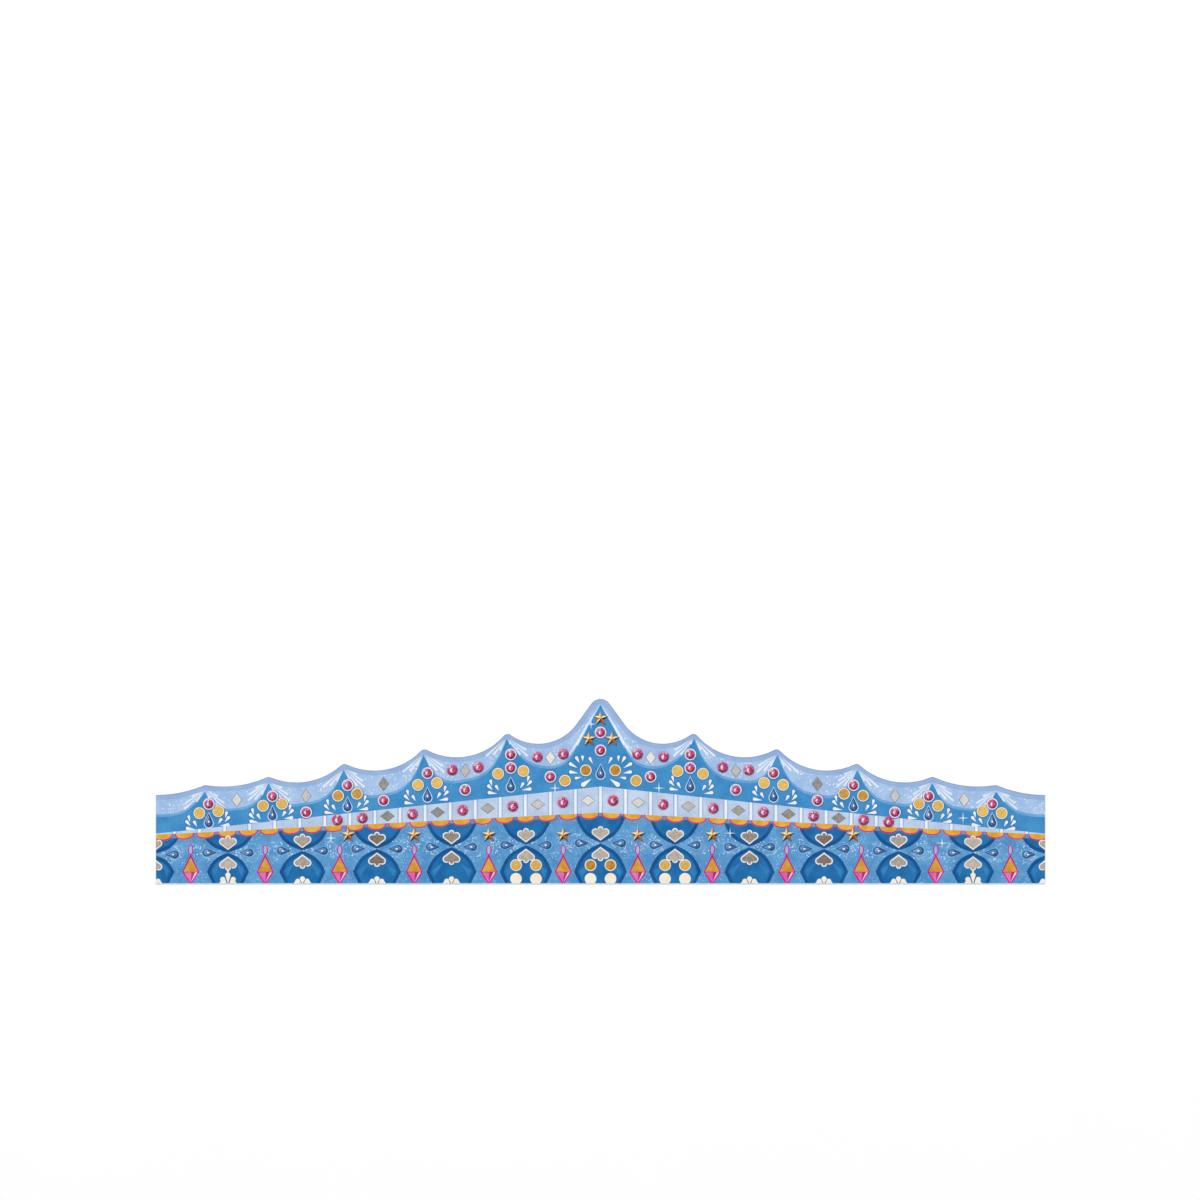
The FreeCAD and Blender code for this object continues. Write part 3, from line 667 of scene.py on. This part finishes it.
# Cream shapes under the bottom rim; one column's flower is taller and has a stem up to the bud
LAST_DISC_COLUMN, DISC_OFFSET, DISC_HEIGHT = 1, 5.9, 3.1
FLOWER_LEAVES = ((90, 4.6), (137, 4.4), (43, 4.4), (163, 4.4), (17, 4.4))
LEAF_WIDTH, LEAF_START = 3.1, 0.9
STEM_COLUMN, STEM_HALF_WIDTH, STEM_LOW, STEM_HIGH = 5, 0.45, 6.2, 9.8
STEM_LEAVES = ((90, 6.8), (130, 5.4), (50, 5.4), (163, 4.4), (17, 4.4))
for number in range(-LAST_DISC_COLUMN, LAST_DISC_COLUMN + 1):
    for side in (-1, 1):
        paint("pale_cream", disc(number * COLUMN + side * DISC_OFFSET, DISC_HEIGHT, RING))
for number in range(LAST_DISC_COLUMN + 1, COLUMNS + 1):
    x = number * COLUMN
    if number == STEM_COLUMN:
        left, right = x - STEM_HALF_WIDTH, x + STEM_HALF_WIDTH
        paint_both("pale_cream", [(left, STEM_LOW), (right, STEM_LOW), (right, STEM_HIGH), (left, STEM_HIGH)])
    for angle, length in STEM_LEAVES if number == STEM_COLUMN else FLOWER_LEAVES:
        turn = math.radians(angle)
        reach = length / 2 + LEAF_START
        paint_both("pale_cream", leaf(x + reach * math.cos(turn), reach * math.sin(turn) - LEAF_START,
                                      turn, length, LEAF_WIDTH))

# Printed rings and borders under the stickers, and a painted shadow under each star that lies down to the right:
# how much wider or longer than the sticker they are
DROP_LINE_LONGER, DROP_LINE_WIDER, DROP_FIELD = 1.7, 1.6, 0.8
STAR_SHADE_RIGHT, STAR_SHADE_DOWN, STAR_SHADE_WIDER = 0.25, 0.3, 0.9
QUARTER = math.pi / 2


def islands(node):
    """Corner points of each separate solid of a node."""
    mesh = bmesh.new()
    mesh.from_mesh(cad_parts[node].data)
    bmesh.ops.remove_doubles(mesh, verts=mesh.verts, dist=MM / 1000)
    left, found = set(mesh.verts), []
    while left:
        group, edge = set(), [left.pop()]
        while edge:
            vert = edge.pop()
            group.add(vert)
            for link in vert.link_edges:
                other = link.other_vert(vert)
                if other in left:
                    left.discard(other)
                    edge.append(other)
        found.append([vert.co.copy() for vert in group])
    mesh.free()
    found.sort(key=lambda spots: (round(sum(s.x for s in spots) / len(spots), 5), sum(s.y for s in spots)))
    return found


def middle_of(spots):
    low = [min(spot[axis] for spot in spots) for axis in range(2)]
    high = [max(spot[axis] for spot in spots) for axis in range(2)]
    return (low[0] + high[0]) / 2 / MM, (low[1] + high[1]) / 2 / MM + CREST / 2


def kind_of(node):
    """Kind of sticker that a node holds, from the last word of its name but for the side."""
    words = [word for word in node.split("_") if word not in ("left", "right")]
    kind = words[-1].rstrip("s")
    if kind == "gem" and (words[0] in ("crest", "tip") or "lower" in words):
        return "small_gem"
    return "bud" if kind == "trefoil" else kind


def turn_of(kind, spots, x, y):
    """Way that a sticker points, in radians, from the corners of its solid."""
    if kind == "drop":
        # the corners crowd in the bowl, so their mean lies off the box's middle, away from the point
        mean = sum((spot.to_2d() for spot in spots), Vector((0.0, 0.0))) / len(spots) / MM
        return round(math.atan2(y - CREST / 2 - mean.y, x - mean.x) / QUARTER) * QUARTER
    if kind == "lozenge":
        width = max(spot.x for spot in spots) - min(spot.x for spot in spots)
        return 0.0 if width < (LOZENGE_LENGTH + LOZENGE_WIDTH) / 2 * MM else QUARTER
    if kind == "bud":
        return 0.0 if y > junction(x) else math.pi
    return 0.0


STICKERS = []
for node in sorted(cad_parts):
    if node == "crown_card":
        continue
    kind = kind_of(node)
    for spots in islands(node):
        x, y = middle_of(spots)
        if kind == "bud":
            x = round(x / COLUMN) * COLUMN
        STICKERS.append((node, kind, x, y, turn_of(kind, spots, x, y)))

for node, kind, x, y, turn in STICKERS:
    if kind in ("small_gem", "dot"):
        # painted shadow under the ring, moved down to the right
        paint("petal_shade", disc(x + SHADE_RIGHT, y - SHADE_DOWN, RING + SHADE_WIDER))
    if kind == "small_gem":
        paint("white", disc(x, y, RING))
    elif kind == "dot":
        paint("cream", disc(x, y, RING))
    elif kind == "drop":
        line = "stone_line" if node.startswith("side") else "ray"
        paint(line, drop_outline(x, y, DROP_LENGTH + DROP_LINE_LONGER, DROP_WIDTH + DROP_LINE_WIDER, turn))
        paint("drop_field", drop_outline(x, y, DROP_LENGTH + DROP_FIELD, DROP_WIDTH + DROP_FIELD, turn))
    elif kind == "star":
        # painted shadow under the star, moved down to the right
        paint("star_shade", star_outline(x + STAR_SHADE_RIGHT, y - STAR_SHADE_DOWN, STAR + STAR_SHADE_WIDER))
    elif kind == "bud":
        paint("bud_line", bud_outline(x, y, turn == 0.0, BUD_RIM))

SPARKLES = ((-5.6, 94.5), (16.2, 80.9), (-26.9, 56.7), (34.5, 56.7), (76.5, 30.1), (-159.2, 27.2),
            (201.7, 24.2), (214.1, 39.0))
SPARKLE_REACH, SPARKLE_WAIST = 3.4, 0.4
for x, y in SPARKLES:
    run = []
    for step in range(8):
        reach, turn = SPARKLE_WAIST if step % 2 else SPARKLE_REACH, math.tau * step / 8
        run.append((x + reach * math.cos(turn), y + reach * math.sin(turn)))
    paint("white", run)
paint("rim", [(-HALF_LENGTH, 0.0), (HALF_LENGTH, 0.0), (HALF_LENGTH, RIM_HEIGHT), (-HALF_LENGTH, RIM_HEIGHT)])


# The card itself

def build_card(name):
    """Solid card whose face is divided along every painted outline."""
    spots, faces = [], []
    for colour, run in painted:
        if area(run) < 0:
            run = list(reversed(run))
        faces.append(list(range(len(spots), len(spots) + len(run))))
        spots += run
    points, _, triangles, _, _, owners = geometry.delaunay_2d_cdt(spots, [], faces, 1, 1e-4)
    colours = list(INKS)
    mesh = bmesh.new()
    verts = [mesh.verts.new((x * MM, (y - CREST / 2) * MM, CARD_TOP)) for x, y in points]
    for triangle, owner in zip(triangles, owners):
        if 0 in owner:
            corners = [verts[number] for number in triangle]
            first, second, third = [corner.co for corner in corners[:3]]
            if (second - first).cross(third - first).z < 0:
                corners.reverse()
            face = mesh.faces.new(corners)
            face.material_index = colours.index(painted[max(owner)][0])
    bmesh.ops.delete(mesh, geom=[vert for vert in mesh.verts if not vert.link_faces], context="VERTS")
    border = [edge for edge in mesh.edges if len(edge.link_faces) == 1]
    walls = bmesh.ops.extrude_edge_only(mesh, edges=border)["geom"]
    low = [item for item in walls if isinstance(item, bmesh.types.BMVert)]
    for vert in low:
        vert.co.z = 0.0
    board = len(colours)
    for face in mesh.faces:
        if face.normal.z < 0.5 and any(vert.co.z < CARD_TOP / 2 for vert in face.verts):
            face.material_index = board
    lower = set(low)
    rim = [edge for edge in mesh.edges if edge.verts[0] in lower and edge.verts[1] in lower]
    for face in bmesh.ops.contextual_create(mesh, geom=rim)["faces"]:
        face.material_index = board
    bmesh.ops.recalc_face_normals(mesh, faces=mesh.faces)
    data = bpy.data.meshes.new(name)
    mesh.to_mesh(data)
    mesh.free()
    for colour in colours:
        data.materials.append(INKS[colour])
    data.materials.append(card_board())
    piece = bpy.data.objects.new(name, data)
    bpy.context.scene.collection.objects.link(piece)
    return piece


card = build_card("printed_card")
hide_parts("crown_card")
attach(card, "root")


# Stickers

class Solid:
    """Collects the faces of one piece; every face has a tone."""

    def __init__(self):
        self.verts, self.faces, self.tones, self.shades = [], [], [], []
        self.shade = 0.0

    def ring(self, outline, height):
        start = len(self.verts)
        self.verts += [(x * MM, (y - CREST / 2) * MM, CARD_TOP + height * MM) for x, y in outline]
        return list(range(start, len(self.verts)))

    def face(self, corners, tone):
        self.faces.append(corners)
        self.tones.append(min(max(tone, 0.0), 1.0))
        self.shades.append(self.shade)

    def strip(self, lower, upper, tones):
        """Walls between two rings of the same count."""
        count = len(lower)
        for number in range(count):
            following = (number + 1) % count
            tone = tones(number) if callable(tones) else tones
            self.face([lower[number], lower[following], upper[following], upper[number]], tone)

    def build(self, name, material):
        data = bpy.data.meshes.new(name)
        data.from_pydata(self.verts, [], self.faces)
        for label, values in (("tone", self.tones), ("shade", self.shades)):
            data.attributes.new(label, "FLOAT", "FACE").data.foreach_set("value", values)
        data.materials.append(material)
        data.update()
        piece = bpy.data.objects.new(name, data)
        bpy.context.scene.collection.objects.link(piece)
        return piece


def lit(angle, spread=0.3, base=0.42, brightest=125):
    """Tone of painted light and shade for a facet that leans towards an angle; the painted light comes from the
    upper left.
    """
    return base + spread * math.cos(angle - math.radians(brightest))


def add_gem(solid, x, y, diameter, chance, sides=10, girdle=0.4, height=1.6):
    """Round brilliant: a girdle, two rows of facets lit and shaded in paint, and a table with a painted curved
    glint.
    """
    radius = diameter / 2
    spin = chance.uniform(0, math.tau / sides)

    def circle(reach, offset=0.0, count=sides):
        turns = [spin + math.tau * (number + offset) / count for number in range(count)]
        return [(x + radius * reach * math.cos(turn), y + radius * reach * math.sin(turn)) for turn in turns]

    def flicker():
        return chance.uniform(-0.22, 0.22)

    foot = solid.ring(circle(1.0, 0.0, 2 * sides), 0.0)
    rim = solid.ring(circle(1.0, 0.0, 2 * sides), girdle)
    crown = solid.ring(circle(0.82, 0.5), girdle + 0.58 * (height - girdle))
    table = solid.ring(circle(0.56), height)
    inner = solid.ring(circle(0.34, 0.5), height)
    centre = solid.ring([(x, y)], height)[0]
    solid.face(list(reversed(foot)), 0.2)
    solid.strip(foot, rim, 0.22)
    for number in range(sides):
        following = (number + 1) % sides
        turn = spin + math.tau * number / sides
        half = turn + math.pi / sides
        left, right, beyond = rim[2 * number], rim[2 * number + 1], rim[2 * following]
        # each facet's tone is painted light and shade by the way it leans, with a random flicker
        solid.face([left, right, crown[number]], lit(turn) + flicker())
        solid.face([right, beyond, crown[number]], lit(half) + flicker())
        solid.face([left, crown[number], table[number], crown[number - 1]], lit(turn, 0.2, 0.52) + flicker())
        solid.face([crown[number], table[following], table[number]], lit(half, 0.3, 0.24) + flicker())
        solid.face([table[number], table[following], inner[number]], lit(half + math.pi, 0.3, 0.3) + flicker())
        # the table's inner facets take a painted glint on the side towards the light and painted shade elsewhere
        towards_light = math.cos(half - math.radians(150))
        solid.face([table[following], inner[following], inner[number]],
                   0.95 if towards_light > -0.2 else 0.4 + flicker())
        solid.face([inner[number], inner[following], centre], 1.0 if towards_light > 0.3 else 0.5 + flicker())


def add_drop(solid, x, y, turn, chance, girdle=0.3, height=1.3):
    """Faceted teardrop whose facets are lit and shaded in paint, with a painted pale glint on its table."""
    outer = drop_outline(x, y, DROP_LENGTH, DROP_WIDTH, turn)
    bow = Vector((math.cos(turn), math.sin(turn)))

    def shrunk(scale, shift=0.0):
        return [(x + (px - x) * scale - bow.x * shift, y + (py - y) * scale - bow.y * shift) for px, py in outer]

    foot, rim = solid.ring(outer, 0.0), solid.ring(outer, girdle)
    middle = solid.ring(shrunk(0.76, 0.12), girdle + 0.6 * (height - girdle))
    table = solid.ring(shrunk(0.5, 0.3), height)
    core = solid.ring(shrunk(0.24, 0.55), height)
    solid.face(list(reversed(foot)), 0.1)
    solid.strip(foot, rim, 0.08)
    centres = [math.atan2(py - y, px - x) for px, py in outer]

    def tone(base, spread, jitter):
        return lambda number: lit(centres[number], spread, base) + chance.uniform(-jitter, jitter)

    solid.strip(rim, middle, tone(0.2, 0.16, 0.12))
    solid.strip(middle, table, tone(0.5, 0.2, 0.16))
    solid.strip(table, core, tone(0.36, 0.1, 0.2))
    solid.face(core, 1.0)


def add_star(solid, x, y, edge=0.25, height=1.2):
    """Five-pointed star: ridges along the arms, valleys between them, up to one peak; each face is lit or shaded
    in paint by the way it leans.
    """
    corners = star_outline(x, y, STAR)
    foot, rim = solid.ring(corners, 0.0), solid.ring(corners, edge)
    peak = solid.ring([(x, y)], height)[0]
    solid.face(list(reversed(foot)), 0.2)
    solid.strip(foot, rim, 0.12)
    for number in range(len(corners)):
        following = (number + 1) % len(corners)
        along = Vector(corners[following]) - Vector(corners[number])
        outward = math.atan2(-along.x, along.y)
        # painted light on faces that lean to the upper left, painted shade on the others
        solid.face([rim[number], rim[following], peak], lit(outward, 0.5, 0.5, 120))


def add_flat(solid, outline, thickness=0.15, edge=0.22):
    """Flat foil with a soft rim all round."""
    count = len(outline)
    x = sum(spot[0] for spot in outline) / count
    y = sum(spot[1] for spot in outline) / count
    shrunk = []
    for px, py in outline:
        reach = math.hypot(px - x, py - y)
        share = max(0.0, 1 - edge / reach)
        shrunk.append((x + (px - x) * share, y + (py - y) * share))
    foot, rim = solid.ring(outline, 0.0), solid.ring(outline, thickness * 0.7)
    top = solid.ring(shrunk, thickness)
    solid.face(list(reversed(foot)), 0.6)
    solid.strip(foot, rim, 1.0)
    solid.strip(rim, top, 0.75)
    solid.face(top, 0.0)


def within_strip(run):
    """Outline cut off where it would pass the strip's end."""
    kept = []
    for first, second in zip(run, run[1:] + run[:1]):
        inside = abs(first[0]) <= HALF_LENGTH
        if inside:
            kept.append(first)
        if inside != (abs(second[0]) <= HALF_LENGTH):
            end = math.copysign(HALF_LENGTH, first[0])
            share = (end - first[0]) / (second[0] - first[0])
            kept.append((end, first[1] + (second[1] - first[1]) * share))
    return kept


def lozenge_outline(x, y, turn):
    half_width, half_length = LOZENGE_WIDTH / 2, LOZENGE_LENGTH / 2
    if turn:
        half_width, half_length = half_length, half_width
    return [(x + half_width, y), (x, y + half_length), (x - half_width, y), (x, y - half_length)]


# Colour ramps from painted shade at tone 0 to a painted glint or highlight at the top
MAGENTA_STONE = stone("magenta_stone", ((0.0, (72, 4, 36)), (0.26, (146, 14, 76)), (0.48, (212, 36, 118)),
                                        (0.72, (232, 104, 168)), (0.95, (250, 236, 244))))
BLUE_STONE = stone("blue_stone", ((0.0, (14, 42, 96)), (0.28, (38, 88, 152)), (0.5, (78, 136, 194)),
                                  (0.74, (132, 178, 224)), (0.95, (244, 250, 254))))
STAR_GOLD = stone("star_gold", ((0.0, (84, 34, 2)), (0.25, (166, 80, 4)), (0.5, (228, 144, 18)),
                                (0.75, (254, 198, 66)), (1.0, (255, 246, 206))), 0.35, 0.2, 0.0)
GOLD_FOIL = foil("gold_foil", ((252, 220, 122), (238, 186, 84)), ((214, 148, 30), (170, 104, 12)), (190, 140, 60))
SILVER_FOIL = foil("silver_foil", ((250, 250, 250), (232, 228, 224)), ((168, 162, 152), (132, 128, 122)),
                   (112, 110, 112))
BUD_FOIL = foil("bud_foil", ((226, 214, 200), (200, 188, 176)), ((136, 118, 106), (96, 84, 80)), (150, 140, 130),
                grain_size=0.7)

# How deep the foil of each sticker is drawn, from 0, pale with a painted reflection, to 1, deep with painted
# shade: by column, bay or tip from the middle out
BUD_SHADES = (0.25, 0.3, 0.7, 0.9, 0.45, 0.2, 0.35)
SWAG_SHADES = (0.0, 0.55, 0.95, 0.45, 0.2)
TIP_DOT_SHADES = (0.15, 0.1, 0.7, 0.3, 0.15)
INNER_DOT_SHADE, INNER_DOT_REACH, OUTER_DOT_SHADE = 0.9, 12, 0.35
DEEPEST_BAND_LOZENGE = 95


def shade_of(node, kind, x):
    if kind == "bud":
        return BUD_SHADES[round(abs(x) / COLUMN)]
    if kind == "lozenge" and node.startswith("swag"):
        bays = [(first + last) / 2 for first, last in zip(TIP_OFFSETS, TIP_OFFSETS[1:])]
        return SWAG_SHADES[min(range(len(bays)), key=lambda number: abs(bays[number] - abs(x)))]
    if kind == "lozenge":
        return min(1.0, abs(x) / DEEPEST_BAND_LOZENGE)
    if kind == "dot" and node.startswith("tip"):
        return TIP_DOT_SHADES[int(node.split("_")[1]) - 1]
    if kind == "dot":
        return INNER_DOT_SHADE if abs(x) < INNER_DOT_REACH else OUTER_DOT_SHADE
    return 0.0


LOOKS = {
    "gem": (MAGENTA_STONE, "pink_gem"),
    "small_gem": (MAGENTA_STONE, "pink_gem"),
    "drop": (BLUE_STONE, "blue_gem"),
    "star": (STAR_GOLD, "gold_star"),
    "dot": (GOLD_FOIL, "gold_foil"),
    "lozenge": (SILVER_FOIL, "silver_foil"),
    "bud": (BUD_FOIL, "silver_foil"),
}

chance = random.Random(11)
for node in sorted({sticker[0] for sticker in STICKERS}):
    group = [sticker for sticker in STICKERS if sticker[0] == node]
    solid = Solid()
    for _, kind, x, y, turn in group:
        # painted reflection or shade of this sticker's foil
        solid.shade = shade_of(node, kind, x)
        if kind == "gem":
            add_gem(solid, x, y, GEM, chance)
        elif kind == "small_gem":
            add_gem(solid, x, y, SMALL_GEM, chance)
        elif kind == "drop":
            add_drop(solid, x, y, turn, chance)
        elif kind == "star":
            add_star(solid, x, y)
        elif kind == "dot":
            add_flat(solid, disc(x, y, DOT, sides=32))
        elif kind == "lozenge":
            add_flat(solid, lozenge_outline(x, y, turn), edge=0.45)
        elif kind == "bud":
            add_flat(solid, within_strip(bud_outline(x, y, turn == 0.0)))
    material, slot = LOOKS[group[0][1]]
    piece = solid.build(node + "_stickers", material)
    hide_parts(node)
    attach(piece, "root")

# Floor, light and camera

VIEW_MIDDLE = Vector((-0.3 * MM, 113.1 * MM, 0.0))
VIEW_WIDTH = 708.7 * MM
CAMERA_HEIGHT = 4.0
SENSOR = 36.0
FAR_CLIP = 20.0
FLOOR_REACH, FLOOR_DEPTH, FLOOR_LIFT = 6.0, 0.0002, 0.13
SKY_STRENGTH = 0.6

# Name, place, width in metres and watts of each lamp; all of them aim at the middle of the part
LAMPS = (("key_light", (-1.2, 1.6, 2.2), 1.0, 27.0), ("fill_light", (1.6, 0.6, 2.0), 1.4, 11.0))


def build_floor():
    recipe = Recipe("floor_paper")
    cloud = recipe.noise(60.0)
    colour = recipe.mix(cloud, (0.955, 0.955, 0.955, 1.0), (0.965, 0.965, 0.965, 1.0))
    material = recipe.finish(colour, Roughness=0.9, Specular_IOR_Level=0.1)
    # the lens and the stones see the floor lighter, as a white backdrop
    light = recipe.add("ShaderNodeLightPath").outputs
    seen = recipe.math("MAXIMUM", light["Is Camera Ray"], light["Is Glossy Ray"])
    seen = recipe.math("MAXIMUM", seen, light["Is Transmission Ray"])
    lift = recipe.math("MULTIPLY", seen, FLOOR_LIFT)
    recipe.shader.inputs["Emission Color"].default_value = (1.0, 1.0, 1.0, 1.0)
    recipe.tree.links.new(lift, recipe.shader.inputs["Emission Strength"])
    data = bpy.data.meshes.new("floor")
    corners = [(x * FLOOR_REACH, y * FLOOR_REACH, -FLOOR_DEPTH) for x, y in ((-1, -1), (1, -1), (1, 1), (-1, 1))]
    data.from_pydata(corners, [], [(0, 1, 2, 3)])
    data.materials.append(material)
    floor = bpy.data.objects.new("floor", data)
    bpy.context.scene.collection.objects.link(floor)


def add_lamp(name, place, width, watts):
    lamp = bpy.data.lights.new(name, "AREA")
    lamp.size = width
    lamp.energy = watts
    item = bpy.data.objects.new(name, lamp)
    item.location = place
    item.rotation_euler = (-Vector(place)).to_track_quat("-Z", "Y").to_euler()
    bpy.context.scene.collection.objects.link(item)


build_floor()
for lamp in LAMPS:
    add_lamp(*lamp)

world = bpy.data.worlds.new("studio")
bpy.context.scene.world = world
world.use_nodes = True
sky = world.node_tree.nodes["Background"].inputs
sky["Color"].default_value = (1.0, 1.0, 1.0, 1.0)
sky["Strength"].default_value = SKY_STRENGTH

lens = bpy.data.cameras.new("camera")
lens.sensor_width = SENSOR
lens.lens = SENSOR * CAMERA_HEIGHT / VIEW_WIDTH
lens.clip_end = FAR_CLIP
camera = bpy.data.objects.new("camera", lens)
camera.location = VIEW_MIDDLE + Vector((0.0, 0.0, CAMERA_HEIGHT))
bpy.context.scene.collection.objects.link(camera)
bpy.context.scene.camera = camera

bpy.context.scene.view_settings.view_transform = "Standard"
